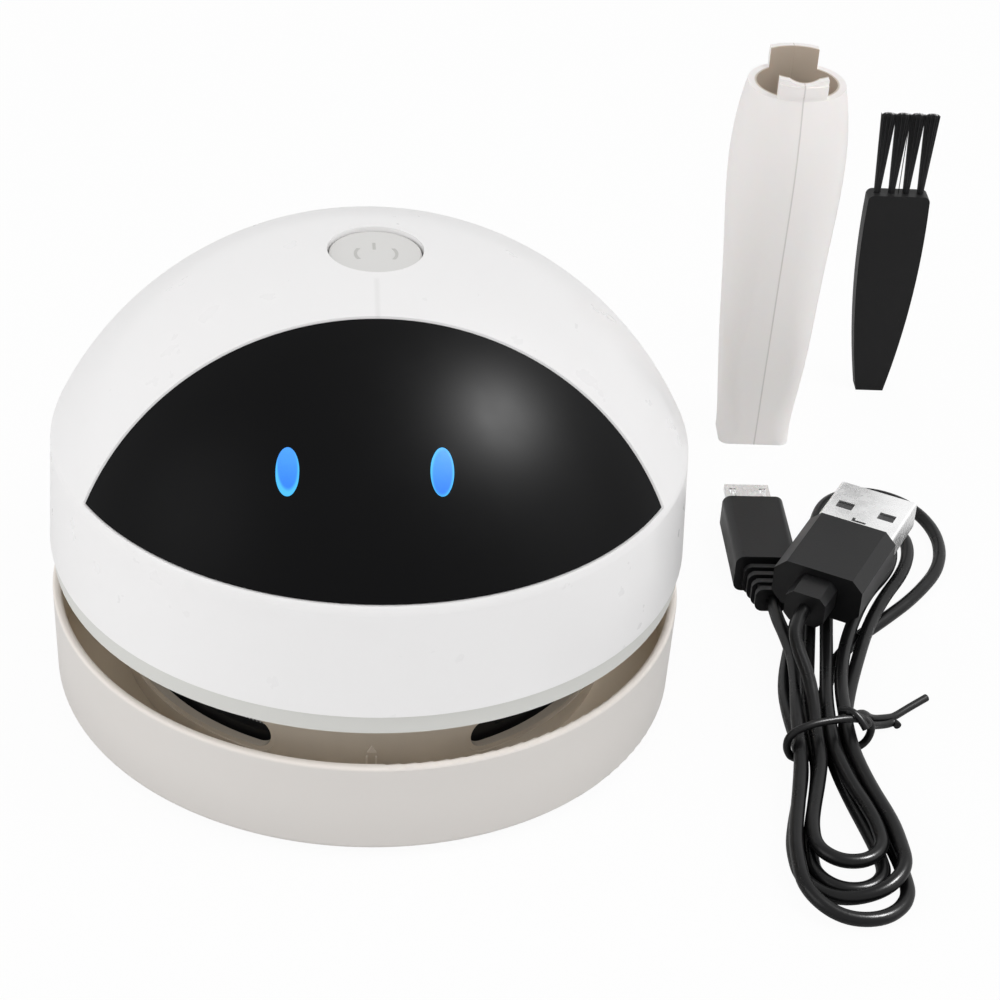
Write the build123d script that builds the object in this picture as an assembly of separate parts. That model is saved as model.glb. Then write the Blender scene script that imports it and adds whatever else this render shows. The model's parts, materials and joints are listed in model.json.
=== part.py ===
from build123d import *
from math import asin, atan2, cos, degrees, pi, radians, sin, sqrt, tan
import os

# Desktop mini vacuum cleaner with its nozzle, cleaning brush and charging cable.
# Millimetres, +Z up. The origin is on the cleaner's axis, on the table; its face looks along -Y.

# ---- the cleaner's outside, from the table up ----
body_radius = 44.0          # foot of the white band, the widest place
foot_proud = 1.0            # felt pads lift the lower ring off the table
ring_height = 14.0          # dust box ring, underside to rim
outlet_gap = 5.4            # open slot all round, where the air leaves
trim_height = 2.8           # grey edge of the deck, under the white band
trim_inset = 0.4            # the grey edge stands back from the band
band_height = 15.6          # nearly upright part of the top shell
band_draft = 0.7            # how much the band's radius shrinks to the shoulder
dome_rise = 27.6            # spherical cap above the shoulder
shoulder_round = 2.5
fit_gap = 0.3               # room between pieces that come apart
seat_gap = 0.05             # room between pieces that are fixed together

# ---- dust box ----
ring_wall = 1.2
ring_toe = 0.3              # the ring's foot stands in by this much
ring_toe_round = 1.0
rim_round = 0.5
floor_recess = 2.0          # ring underside to floor underside
floor_wall = 1.2
inlet_radius = 7.8          # suction mouth, which the nozzle also plugs into
inlet_wall = 1.3
inlet_rise = 4.6            # mouth tube above the floor, keeps the dust from falling out
spigot_wall = 1.2
spigot_height = 3.2         # low wall that the filter cartridge drops over
foot_pad_radius = 3.2
foot_pad_height = 1.6
foot_boss_wall = 0.7
foot_inset = 7.5            # pad middle from the ring's outside
foot_count = 4
brush_strip_radius = 13.5   # middle of the bristle strip round the mouth
brush_strip_width = 2.6
brush_strip_height = 0.9
bristle_radius = 0.55
bristle_count = 30
bristle_lift = 0.3          # the bristle tips just clear the table

# ---- skirt with the air vents, and the filter cartridge inside it ----
skirt_foot_radius = 34.3
skirt_flare = 1.3           # how much the skirt widens up to the deck
skirt_wall = 1.5
skirt_lift = seat_gap       # the skirt foot stands on the dust box floor
skirt_flange_wall = 1.2
skirt_flange_width = 4.9    # inside the filter cartridge
skirt_screw_count = 3
vent_count = 4
vent_sweep = 45.0           # degrees from end to end of one vent
vent_height = 4.4
vent_sill = 3.9             # dust box floor to the vent's lower edge
vent_rebate = 0.7           # shallow step all round each vent
vent_rebate_depth = 0.4
cartridge_wall = 1.2
cartridge_turn = 5.5        # the windows are turned this far from the vents
window_sweep = 39.0
window_sill = 5.1           # dust box floor to the window's lower edge
window_height = 8.0
mesh_wall = 0.3
mesh_overlap = 0.8

# ---- deck, the floor of the upper unit ----
deck_wall = 1.6
deck_spigot_height = 3.0
deck_spigot_wall = 0.9
motor_plate_wall = 2.8
motor_plate_radius = 15.0
motor_cup_height = 4.0
motor_cup_wall = 1.2

# ---- motor, shaft and impeller ----
motor_radius = 12.0
motor_flat = 10.2           # half the width over the can's two flats
motor_length = 22.0
motor_cap_height = 3.0
motor_cap_radius = 10.4
motor_pilot_radius = 3.4
motor_screw_circle = 8.0
shaft_radius = 1.0
shaft_clearance = 0.05
impeller_inset = 5.5        # blade tips from the filter spigot's bore
impeller_plate = 1.0
impeller_under_deck = 1.0   # deck underside to the impeller plate
blade_height = 5.2
blade_wall = 0.9
blade_count = 9
blade_root_radius = 7.0
hub_radius = 4.0
hub_height = 7.0

# ---- battery, charging board and socket ----
cell_radius = 8.25
cell_length = 34.0
cell_tip_radius = 2.8
cell_tip_height = 1.2
cell_to_board = 3.95
cradle_wall = 1.6
cradle_height = 6.5
board_wall = 1.2
charge_board_width = 22.0
charge_board_height = 16.0
charge_board_inset = 7.8    # board's inner face from the body's outside
socket_width = 7.6
socket_height = 2.7
socket_depth = 5.4
socket_lift = 8.2           # deck top to the socket's middle
socket_wall = 0.35
socket_window_gap = 0.8

# ---- top shell, face panel, lights ----
shell_wall = 2.0
lip_wall = 1.0              # shell left in front of the panel's flange
face_foot_above_shoulder = 0.75
face_top_set = 29.65        # distance of the slanted upper face edge from the origin
face_top_lean = 14.0        # degrees that the upper edge leans back
face_recess = 0.2
face_wall = 0.9
face_flange_wall = 1.1
face_flange_width = 1.3
face_gap = 0.12
face_edge_round = 0.35
light_spacing = 19.0        # between the two oval lights
light_offset = 1.9          # the pair sits this much to the left of the middle
light_width = 2.9
light_length = 6.1
light_height = 52.4
light_lean = 40.0           # degrees that the lights point up
light_depth = 3.4
led_width = 2.4
led_length = 4.2
led_depth = 2.0
led_board_width = 36.0
led_board_height = 9.0
led_board_behind = 6.4      # panel surface to the board's front face
panel_post_radius = 1.5
panel_post_spread = 14.6
shell_screw_inset = 5.7     # screw middle from the body's outside
shell_screw_angles = (-72.0, 72.0, -138.0, 138.0)   # from the face, going round
shell_boss_radius = 2.2
screw_radius = 1.0
screw_head_radius = 1.9
screw_head_height = 0.8
screw_length = 8.0
boss_web_wall = 1.2

# ---- button and switch ----
button_radius = 6.1
button_gap = 0.25
button_drop = 0.5           # button top below the rim of its hole
button_height = 3.2
button_flange_width = 1.3
button_flange_height = 1.0
button_round = 0.35
button_travel = 0.6
plunger_radius = 1.7
switch_side = 6.0
switch_height = 3.5
switch_board_radius = 11.0
switch_board_below_top = 10.8
switch_post_radius = 1.3
switch_post_circle = 9.3
switch_post_count = 3

# ---- nozzle ----
nozzle_place = (66.3, 61.5)
nozzle_turn = -2.6
nozzle_height = 63.0
nozzle_wall = 1.3
nozzle_bore = 6.15
nozzle_bore_length = 5.5
nozzle_shoulder = 51.0      # height of the widest section
nozzle_shoulder_side = 18.3
nozzle_round_from = 46.0    # above this height the sides curve in to the mouth
nozzle_corner_share = 0.48  # corner radius at the shoulder, as a share of the side
nozzle_tip = (11.4, 7.6)
nozzle_tip_round = 1.6
tongue_width = 7.4
tongue_height = 3.2
tongue_bead = 0.25
tongue_notch_radius = 4.6
tongue_notch_depth = 0.6

# ---- cleaning brush ----
brush_place = (88.9, 77.0)
brush_turn = -2.6
handle_height = 36.8
handle_width = 10.0
handle_foot_width = 4.6
handle_thickness = 3.0
handle_round = 1.0
tuft_count = 4
tuft_pitch = 2.35
tuft_length = 14.0
tuft_root_radius = 0.6
tuft_tip_radius = 1.25

# ---- charging cable, tied into a hank on the table ----
cord_radius = 1.2
hank_layers = 2
hank_tie_place = (63.2, -23.5)
hank_tie_radius = 6.1       # half the width of the bundle under the tie
hank_bottom_place = (62.6, -51.1)
hank_bottom_radius = 9.7
hank_top_place = (80.4, 31.4)
hank_top_radius = 11.4
hank_neck_place = (64.0, -8.0)
hank_fork_place = (67.0, -3.0)   # where the upper turns start to spread
hank_fork_radius = 4.6
hank_crossing_rise = 1.0    # crossed turns above the tie lie this much higher
hank_waist_length = 22.0
tie_radius = 0.55
tie_turn = 12.0
tie_tail = ((70.0, -21.9, 3.2), (72.6, -19.4, 1.6), (76.4, -19.0, 0.8), (80.6, -15.0, 0.55))
tie_bend = 3.0
lead_to_micro = ((59.9, -14.0, 4.6), (61.2, -6.4, 4.6), (60.8, 1.4, 3.7), (60.9, 9.4, 3.1))
lead_to_usb = ((62.3, -18.5, 5.1), (62.0, -12.8, 6.8), (60.6, -7.0, 8.8), (62.9, -1.9, 9.7))

usb_turn = 59.6             # direction of the plug on the table, from +X
usb_place = (62.9, -1.9)    # end of the plug's neck
usb_neck = (5.0, 6.0, 5.0)  # length, width, height
usb_grip = (14.6, 13.4, 7.4)
usb_grip_chamfer = 1.7
usb_shell = (12.0, 12.0, 4.5)
usb_shell_wall = 0.3
usb_tongue = (10.8, 11.0, 1.9)
usb_window = (1.9, 2.5)
usb_window_from_mouth = 6.1
usb_window_spacing = 6.5
usb_hook_slot = 0.45        # small lanced hook between the grip and the windows
usb_hook_width = 2.2
usb_hook_return = 1.0
usb_hook_from_grip = 2.6
micro_turn = 88.7
micro_place = (60.9, 9.4)   # end of the strain relief
micro_relief = (6.8, 6.4, 4.8)
micro_relief_tip = 4.2
micro_rib_count = 4
micro_grip_size = (16.6, 9.4, 6.2)
micro_grip_round = 1.3
micro_shell_size = (6.6, 6.9, 1.85)
micro_shell_wall = 0.25
micro_tongue_size = (5.0, 3.7, 0.6)
latch_slot = (3.7, 0.95)    # the shell's two spring latches lie in these slots
latch_spring = (3.3, 0.4)
latch_tooth = (0.8, 0.35)   # length, height above the shell
latch_from_grip = 1.8
latch_spacing = 4.7
groove_size = (3.2, 0.14, 0.08)
groove_pitch = 0.72
groove_count = 4

os.makedirs("parts", exist_ok=True)


def write(name, *solids):
    """One STEP file per named piece; like pieces share one file as separate solids."""
    shape = solids[0] if len(solids) == 1 else Compound(children=list(solids))
    export_step(shape, f"parts/{name}.step")


def turned(*corners):
    """A solid of revolution about Z, from its (radius, height) corners."""
    return revolve(Plane.XZ * make_face(Polyline(*corners, close=True)), Axis.Z)


def disc(radius, low, high, at=(0, 0)):
    return Pos(*at, low) * Cylinder(radius, high - low, align=(Align.CENTER, Align.CENTER, Align.MIN))


def tube(outer, inner, low, high, at=(0, 0)):
    return disc(outer, low, high, at) - disc(inner, low - 1, high + 1, at)


def block(width, depth, low, high, at=(0, 0)):
    return Pos(*at, low) * Box(width, depth, high - low, align=(Align.CENTER, Align.CENTER, Align.MIN))


def polar(radius, angle):
    """The point at a radius, with the angle in degrees counted from the face, going round."""
    return radius * sin(radians(angle)), -radius * cos(radians(angle))


def arc_band(inner, outer, low, high, middle, sweep):
    """A ring sector centred on an angle from the face."""
    section = Plane.XZ * make_face(
        Polyline((inner, low), (outer, low), (outer, high), (inner, high), close=True)
    )
    return Rot(0, 0, middle - 90 - sweep / 2) * revolve(section, Axis.Z, sweep)


# ---- heights and radii that follow ----
ring_foot = foot_proud
rim_top = ring_foot + ring_height
deck_foot = rim_top + outlet_gap
band_foot = deck_foot + trim_height
shoulder_top = band_foot + band_height
shoulder_radius = body_radius - band_draft
apex = shoulder_top + dome_rise
dome_radius = (shoulder_radius**2 + dome_rise**2) / (2 * dome_rise)
dome_centre = apex - dome_radius
floor_foot = ring_foot + floor_recess
floor_top = floor_foot + floor_wall
ring_inner = body_radius - ring_wall
foot_circle = body_radius - foot_inset
shell_screw_circle = body_radius - shell_screw_inset
charge_board_behind = body_radius - charge_board_inset
cell_behind_axis = charge_board_behind - cell_to_board - cell_radius
skirt_top_radius = skirt_foot_radius + skirt_flare
skirt_foot = floor_top + skirt_lift
cartridge_outer = skirt_foot_radius - skirt_wall - fit_gap
cartridge_inner = cartridge_outer - cartridge_wall
spigot_outer = cartridge_inner - fit_gap - mesh_wall
impeller_radius = spigot_outer - spigot_wall - impeller_inset
deck_top = deck_foot + deck_wall
shell_inner = body_radius - shell_wall
motor_seat = deck_foot + motor_plate_wall
deck_rim_radius = body_radius - trim_inset
spigot_radius = shell_inner - 4 * seat_gap


# ================= dust box: lower ring, floor, suction mouth =================
def dust_box():
    ring = turned(
        (ring_inner - ring_toe, floor_foot),
        (ring_inner - ring_toe, ring_foot),
        (body_radius - ring_toe, ring_foot),
        (body_radius, rim_top),
        (ring_inner, rim_top),
        (ring_inner - ring_toe, floor_top),
        (inlet_radius, floor_top),
        (inlet_radius, floor_foot),
    )
    toe = ring.edges().filter_by(GeomType.CIRCLE).filter_by_position(Axis.Z, ring_foot, ring_foot)
    ring = fillet(toe.sort_by(SortBy.RADIUS)[-1], ring_toe_round)
    rim = ring.edges().filter_by(GeomType.CIRCLE).filter_by_position(Axis.Z, rim_top, rim_top)
    ring = fillet(rim, rim_round)
    mouth = tube(inlet_radius + inlet_wall, inlet_radius, floor_top, floor_top + inlet_rise)
    boss_radius = foot_pad_radius + foot_boss_wall
    bosses = [
        disc(boss_radius, foot_pad_height, floor_foot, polar(foot_circle, 45 + 360 / foot_count * i))
        for i in range(foot_count)
    ]
    return ring + [mouth] + bosses


def filter_spigot():
    """The low collar welded to the floor, which the filter cartridge drops over."""
    low = floor_top + seat_gap
    return tube(spigot_outer, spigot_outer - spigot_wall, low, floor_top + spigot_height)


def foot_pads():
    pads = []
    for i in range(foot_count):
        spot = polar(foot_circle, 45 + 360 / foot_count * i)
        pads.append(disc(foot_pad_radius, 0, foot_pad_height, spot))
    return pads


strip_foot = floor_foot - brush_strip_height


def brush_strip():
    half = brush_strip_width / 2
    return tube(brush_strip_radius + half, brush_strip_radius - half, strip_foot, floor_foot)


def bristles():
    tufts = []
    for i in range(bristle_count):
        spot = polar(brush_strip_radius, 360 / bristle_count * i)
        tufts.append(disc(bristle_radius, bristle_lift, strip_foot, spot))
    return tufts


# ================= skirt with vents, filter cartridge =================
skirt_screw_circle = cartridge_inner - fit_gap - screw_head_radius
skirt_screw_spots = [
    polar(skirt_screw_circle, 360 / skirt_screw_count * i) for i in range(skirt_screw_count)
]
skirt_flange_inner = cartridge_inner - skirt_flange_width


def skirt():
    top = deck_foot
    flange_foot = top - skirt_flange_wall
    wall = turned(
        (skirt_foot_radius, skirt_foot),
        (skirt_top_radius, top),
        (skirt_flange_inner, top),
        (skirt_flange_inner, flange_foot),
        (skirt_top_radius - skirt_wall, flange_foot),
        (skirt_foot_radius - skirt_wall, skirt_foot),
    )
    low = floor_top + vent_sill
    middle_height = low + vent_height / 2
    end_angle = degrees(asin(vent_height / 2 / skirt_foot_radius))
    cuts = [disc(screw_radius, flange_foot - 1, top + 1, spot) for spot in skirt_screw_spots]
    for i in range(vent_count):
        middle = 360 / vent_count * (i + 0.5)
        for grow, inner in ((0, skirt_foot_radius - 4), (vent_rebate, None)):
            slot_low = low - grow
            slot_high = low + vent_height + grow
            depth_inner = inner or vent_face_radius(middle_height) - vent_rebate_depth
            straight = vent_sweep - 2 * end_angle
            cuts.append(arc_band(depth_inner, body_radius - 4, slot_low, slot_high, middle, straight))
            for side in (-1, 1):
                turn = middle + side * (vent_sweep / 2 - end_angle)
                end = Cylinder(vent_height / 2 + grow, body_radius - 4 - depth_inner,
                               align=(Align.CENTER, Align.CENTER, Align.MIN))
                cuts.append(Rot(0, 0, turn) * Pos(0, -depth_inner, middle_height) * Rot(90, 0, 0) * end)
    return wall - cuts


def vent_face_radius(height):
    """Outer radius of the drafted skirt at a height."""
    share = (height - skirt_foot) / (deck_foot - skirt_foot)
    return skirt_foot_radius + share * (skirt_top_radius - skirt_foot_radius)


cartridge_foot = skirt_foot + fit_gap
cartridge_top = deck_foot - skirt_flange_wall - fit_gap
window_low = floor_top + window_sill
window_high = window_low + window_height


def filter_cartridge():
    frame = tube(cartridge_outer, cartridge_inner, cartridge_foot, cartridge_top)
    windows = [
        arc_band(cartridge_inner - 1, cartridge_outer + 1, window_low, window_high,
                 360 / vent_count * (i + 0.5) + cartridge_turn, window_sweep)
        for i in range(vent_count)
    ]
    return frame - windows


def filter_mesh():
    return tube(cartridge_inner, cartridge_inner - mesh_wall,
                window_low - mesh_overlap, window_high + mesh_overlap)


# ================= deck, with its seats for everything inside =================
motor_screw_spots = [(motor_screw_circle, 0), (-motor_screw_circle, 0)]
shell_screw_spots = [polar(shell_screw_circle, a) for a in shell_screw_angles]

def screw(spot, seat, length, up=True):
    """A pan-head screw whose head is under its seat and whose shank goes up from it."""
    head = disc(screw_head_radius, seat - screw_head_height, seat, spot)
    shank = disc(screw_radius, seat, seat + length, spot)
    return head + shank


def deck():
    plate = turned(
        (shaft_hole, deck_foot),
        (deck_rim_radius, deck_foot),
        (deck_rim_radius, band_foot),
        (spigot_radius, band_foot),
        (spigot_radius, band_foot + deck_spigot_height),
        (spigot_radius - deck_spigot_wall, band_foot + deck_spigot_height),
        (spigot_radius - deck_spigot_wall, deck_top),
        (motor_plate_radius, deck_top),
        (motor_plate_radius, motor_seat),
        (shaft_hole, motor_seat),
    )
    cup_inner = motor_radius + 2 * seat_gap
    cup = tube(cup_inner + motor_cup_wall, cup_inner, motor_seat, motor_seat + motor_cup_height)
    skirt_bosses = [
        disc(screw_radius + motor_cup_wall, deck_top, deck_top + screw_length - deck_wall, s)
        for s in skirt_screw_spots
    ]
    body = plate + [cup] + skirt_bosses
    cuts = [disc(motor_pilot_radius + fit_gap, deck_foot - 1, motor_seat + 1)]
    for spot in motor_screw_spots:
        cuts.append(disc(screw_radius + seat_gap, deck_foot - 1, motor_seat + 1, spot))
        cuts.append(disc(screw_head_radius + seat_gap, deck_foot - 1, deck_foot + screw_head_height, spot))
    for spot in shell_screw_spots:
        cuts.append(disc(screw_radius + seat_gap, deck_foot - 1, deck_top + 1, spot))
        cuts.append(disc(screw_head_radius + seat_gap, deck_foot - 1, deck_foot + screw_head_height, spot))
    for spot in skirt_screw_spots:
        cuts.append(disc(screw_radius, deck_foot - 1, deck_foot + screw_length - skirt_flange_wall, spot))
    return body - cuts


shaft_hole = shaft_radius + 1


def deck_screws():
    return [screw(s, deck_foot + screw_head_height, screw_length) for s in shell_screw_spots]


def skirt_screws():
    seat = deck_foot - skirt_flange_wall
    return [screw(s, seat, screw_length - skirt_flange_wall) for s in skirt_screw_spots]


def motor_screws():
    return [screw(s, deck_foot + screw_head_height, motor_plate_wall) for s in motor_screw_spots]


# ================= motor, shaft, impeller =================
motor_top = motor_seat + motor_length


def motor_can():
    can = disc(motor_radius, motor_seat, motor_top)
    can &= block(2 * motor_flat, 3 * motor_radius, motor_seat, motor_top)
    can = fillet(can.edges().filter_by(GeomType.CIRCLE).group_by(Axis.Z)[-1], 0.8)
    can += disc(motor_pilot_radius, deck_foot + screw_head_height, motor_seat)
    shaft_way = disc(shaft_radius + shaft_clearance, deck_foot - 1, motor_top + 1)
    screw_depth = deck_foot + screw_head_height + motor_plate_wall
    threads = [disc(screw_radius, motor_seat - 1, screw_depth + seat_gap, s) for s in motor_screw_spots]
    return can - [shaft_way] - threads


def motor_cap():
    cap = disc(motor_cap_radius, motor_top, motor_top + motor_cap_height)
    cap = chamfer(cap.edges().group_by(Axis.Z)[-1], 0.8)
    cap -= disc(shaft_radius + shaft_clearance, motor_top - 1, motor_top + motor_cap_height / 2)
    lug_top = motor_top + motor_cap_height + 2
    lugs = [block(2.2, 0.5, motor_top + motor_cap_height, lug_top, (x, 0)) for x in (-6, 6)]
    return cap + lugs


impeller_top = deck_foot - impeller_under_deck
impeller_foot = impeller_top - impeller_plate - blade_height
shaft_foot = impeller_top - hub_height - 0.6
shaft_top = motor_top + motor_cap_height / 2 - 0.3


def motor_shaft():
    return disc(shaft_radius, shaft_foot, shaft_top)


def impeller():
    """Backward-curved blades under a round plate, on a hub pressed on the shaft."""
    plate = disc(impeller_radius, impeller_top - impeller_plate, impeller_top)
    hub = disc(hub_radius, impeller_top - hub_height, impeller_top)
    hub = fillet(hub.edges().group_by(Axis.Z)[0], 1.2)
    reach = impeller_radius - blade_root_radius
    bow = reach * 0.9
    blade = Pos(blade_root_radius + reach / 2, -sqrt(bow**2 - (reach / 2) ** 2), impeller_foot) * (
        Cylinder(bow + blade_wall / 2, blade_height, align=(Align.CENTER, Align.CENTER, Align.MIN))
        - Cylinder(bow - blade_wall / 2, blade_height, align=(Align.CENTER, Align.CENTER, Align.MIN))
    )
    side = 2 * impeller_radius
    keep = block(side, side, impeller_foot, impeller_top, (impeller_radius, impeller_radius))
    keep &= tube(impeller_radius, hub_radius + 1.5, impeller_foot, impeller_top)
    blade &= keep
    blades = [Rot(0, 0, 360 / blade_count * i) * blade for i in range(blade_count)]
    return (plate + [hub] + blades) - disc(shaft_radius, shaft_foot - 1, impeller_top + 1)


# ================= battery, charging board, socket =================
cell_height = deck_top + cradle_wall + cell_radius


def battery_cell():
    lying = Pos(0, cell_behind_axis, cell_height) * Rot(0, 90, 0)
    body = Cylinder(cell_radius, cell_length)
    body = fillet(body.edges().filter_by(GeomType.CIRCLE), 0.6)
    tip = Pos(0, 0, cell_length / 2) * Cylinder(
        cell_tip_radius, cell_tip_height, align=(Align.CENTER, Align.CENTER, Align.MIN)
    )
    return lying * (body + tip)


def battery_cradle():
    length = cell_length - 6
    width = 2 * (cell_radius - 1)
    top = deck_top + cradle_height
    cradle = block(length, width, deck_top, top, (0, cell_behind_axis))
    lying = Pos(0, cell_behind_axis, cell_height) * Rot(0, 90, 0)
    trough = lying * Cylinder(cell_radius + seat_gap, length + 2)
    middle = block(length - 12, width + 2, deck_top + cradle_wall, top + 1, (0, cell_behind_axis))
    return cradle - [trough, middle]


socket_middle = deck_top + socket_lift
board_front = charge_board_behind + board_wall


def charge_board():
    board = block(charge_board_width, board_wall, deck_top, deck_top + charge_board_height,
                  (0, charge_board_behind + board_wall / 2))
    return board


def charge_parts():
    """Chips and the capacitor on the charging board's inner face."""
    inner = charge_board_behind
    chips = []
    for x, height, width, tall, deep in ((-6, 4, 5, 4, 1.4), (5, 10, 6, 3, 1.2), (-6, 11, 3, 3, 1.8)):
        chips.append(block(width, deep, deck_top + height, deck_top + height + tall, (x, inner - deep / 2)))
    return chips


def usb_socket():
    low = socket_middle - socket_height / 2
    outer = RectangleRounded(socket_width, socket_height, 0.9)
    inner = RectangleRounded(socket_width - 2 * socket_wall, socket_height - 2 * socket_wall, 0.6)
    plane = Plane(origin=(0, board_front, low + socket_height / 2), x_dir=(1, 0, 0), z_dir=(0, 1, 0))
    shell = extrude(plane * outer, socket_depth)
    shell -= extrude(plane.offset(0.8) * inner, socket_depth)
    tongue = extrude(plane * Rectangle(3.6, 0.5), socket_depth - 1)
    return shell + tongue


# ================= top shell and face panel =================
def dome(inset, low=None):
    """The upper unit's outer form, set in by a wall: drafted band below a spherical cap."""
    sphere = dome_radius - inset
    edge = shoulder_radius - inset
    edge_height = dome_centre + sqrt(sphere**2 - edge**2)
    start = degrees(atan2(edge_height - dome_centre, edge))
    foot = band_foot if low is None else low
    outline = (
        Polyline((0, apex - inset), (0, foot), (body_radius - inset, foot), (edge, edge_height))
        + CenterArc((0, dome_centre), sphere, start, 90 - start)
    )
    return revolve(Plane.XZ * make_face(outline), Axis.Z)


face_foot = shoulder_top + face_foot_above_shoulder


def face_wedge(grow=0.0):
    """All that lies in front of the face's slanted upper edge and above its level lower edge."""
    lean = radians(face_top_lean)
    foot = face_foot - grow

    def edge_y(height):
        return (height * sin(lean) - face_top_set + grow) / cos(lean)

    far = -2 * body_radius
    corners = ((edge_y(foot), foot), (far, foot), (far, apex + 5), (edge_y(apex + 5), apex + 5))
    return extrude(Plane.YZ * make_face(Polyline(*corners, close=True)), body_radius, both=True)


def ball(radius):
    return Pos(0, 0, dome_centre) * Sphere(radius)


def light_plane(x, back=0.0):
    """A plane on the face panel at one light, looking out along the light's axis."""
    lean = radians(light_lean)
    y = -sqrt(dome_radius**2 - (light_spacing / 2) ** 2 - (light_height - dome_centre) ** 2)
    return Plane(
        origin=(x, y + back * cos(lean), light_height - back * sin(lean)),
        x_dir=(1, 0, 0),
        z_dir=(0, -cos(lean), sin(lean)),
    )


def top_shell():
    outer = dome(0)
    shoulder = outer.edges().filter_by(GeomType.CIRCLE).filter_by_position(
        Axis.Z, shoulder_top - 0.1, shoulder_top + 0.1
    )
    outer = fillet(shoulder, shoulder_round)
    shell = outer - dome(shell_wall, band_foot - 1)
    rebate = face_wedge(face_flange_width + face_gap) & ball(dome_radius - lip_wall)
    rebate &= block(4 * body_radius, 4 * body_radius, face_foot - face_flange_width - face_gap, apex)
    shell -= rebate
    bosses = []
    for spot, angle in zip(shell_screw_spots, shell_screw_angles):
        column = disc(shell_boss_radius, deck_top, apex, spot)
        web = Rot(0, 0, angle) * block(
            boss_web_wall, 4, band_foot + deck_spigot_height + fit_gap, apex, (0, -shell_screw_circle - 2)
        )
        bosses += [(column + web) & dome(shell_wall / 2, deck_foot)]
    posts = []
    board_top = apex - switch_board_below_top + board_wall
    for spot in switch_post_spots:
        post = disc(switch_post_radius, board_top, apex, spot)
        posts.append(post & dome(shell_wall / 2, deck_foot))
    shell = shell + bosses + posts
    cuts = [face_wedge(0)]
    cuts.append(disc(button_radius + button_gap, board_top + 1, apex + 5))
    for spot in shell_screw_spots:
        cuts.append(disc(screw_radius, deck_top - 1, deck_foot + screw_head_height + screw_length, spot))
    margin = 2 * socket_window_gap
    window = RectangleRounded(socket_width + margin, socket_height + margin, 1.6)
    window_plane = Plane(origin=(0, shell_inner - 3, socket_middle), x_dir=(1, 0, 0), z_dir=(0, 1, 0))
    cuts.append(extrude(window_plane * window, 8))
    return shell - cuts


def face_panel():
    front = face_wedge(-face_gap) & ball(dome_radius - face_recess)
    front -= ball(dome_radius - face_recess - face_wall)
    flange_front = dome_radius - lip_wall - seat_gap
    flange = face_wedge(face_flange_width) & ball(flange_front)
    flange &= block(4 * body_radius, 4 * body_radius, face_foot - face_flange_width, apex)
    flange -= ball(flange_front - face_flange_wall)
    panel = front + flange
    posts = []
    for side in (-1, 1):
        plane = light_plane(side * panel_post_spread, led_board_behind)
        post = extrude(plane * Circle(panel_post_radius), led_board_behind)
        posts.append(post & ball(flange_front - face_flange_wall / 2))
    panel = panel + posts
    hole = Ellipse(light_width / 2 + seat_gap, light_length / 2 + seat_gap)
    holes = [extrude(light_plane(x) * hole, 8, both=True) for x in light_places]
    return panel - holes


light_places = (-light_spacing / 2 - light_offset, light_spacing / 2 - light_offset)


def light_lens(x):
    """A clear plug through the panel, flush in front, that carries a lamp's light out."""
    lens = extrude(light_plane(x, light_depth) * Ellipse(light_width / 2, light_length / 2), light_depth + 4)
    return lens & ball(dome_radius - face_recess)


def led_board():
    plane = light_plane(0, led_board_behind)
    return extrude(plane * Rectangle(led_board_width, led_board_height), -board_wall)


def leds():
    lamps = []
    for x in light_places:
        plane = light_plane(x, led_board_behind)
        lamps.append(extrude(plane * Rectangle(led_width, led_length), led_depth))
    return lamps


# ================= button and switch =================
hole_radius = button_radius + button_gap
hole_rim = dome_centre + sqrt(dome_radius**2 - hole_radius**2)
button_top = hole_rim - button_drop
button_foot = button_top - button_height
switch_board_foot = apex - switch_board_below_top
switch_board_top = switch_board_foot + board_wall
switch_top = switch_board_top + switch_height
plunger_foot = switch_top - 2
switch_post_spots = [
    polar(switch_post_circle, 90 + 360 / switch_post_count * i) for i in range(switch_post_count)
]


def button():
    cap = disc(button_radius, button_foot, button_top)
    cap = fillet(cap.edges().group_by(Axis.Z)[-1], button_round)
    flange = disc(button_radius + button_flange_width, button_foot - button_flange_height, button_foot)
    return cap + flange


def switch_plunger():
    return disc(plunger_radius, plunger_foot, button_foot - button_flange_height)


def switch():
    body = block(switch_side, switch_side, switch_board_top, switch_top)
    body = chamfer(body.edges().filter_by(Axis.Z), 0.4)
    well_foot = plunger_foot - button_travel - 2 * fit_gap / 3
    return body - disc(plunger_radius + 2 * seat_gap, well_foot, switch_top + 1)


def switch_board():
    board = disc(switch_board_radius, switch_board_foot, switch_board_top)
    pilot = screw_radius - fit_gap
    holes = [disc(pilot, switch_board_foot - 1, switch_board_top + 1, s) for s in switch_post_spots]
    return board - holes


# ================= nozzle =================
def nozzle_side(height, tip):
    """Outer side at a height: an even taper, drawn in to the round mouth above the shoulder."""
    slope = (nozzle_shoulder_side - tip) / nozzle_shoulder
    mouth = 2 * (nozzle_bore + nozzle_wall)
    over = max(0.0, height - nozzle_round_from) / (nozzle_height - nozzle_round_from)
    return tip + slope * height - (tip + slope * nozzle_height - mouth) * over**2


def nozzle_form(inset):
    """Tapering duct: a rounded slot at the foot, nearly round at the shoulder and the mouth."""
    tip_share = nozzle_tip_round / nozzle_tip[1]
    sections = []
    for share in (0, 0.2, 0.4, 0.6, 0.74, 0.82, 0.91, 1):
        height = share * nozzle_height
        width, depth = (nozzle_side(height, tip) for tip in nozzle_tip)
        roundness = min(1.0, height / nozzle_shoulder)
        corner = min(width, depth) * (tip_share + (nozzle_corner_share - tip_share) * roundness)
        side = RectangleRounded(width - 2 * inset, depth - 2 * inset, corner - inset * 0.9)
        sections.append(Pos(0, 0, height) * side)
    return loft([s.faces()[0] for s in sections])


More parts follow.
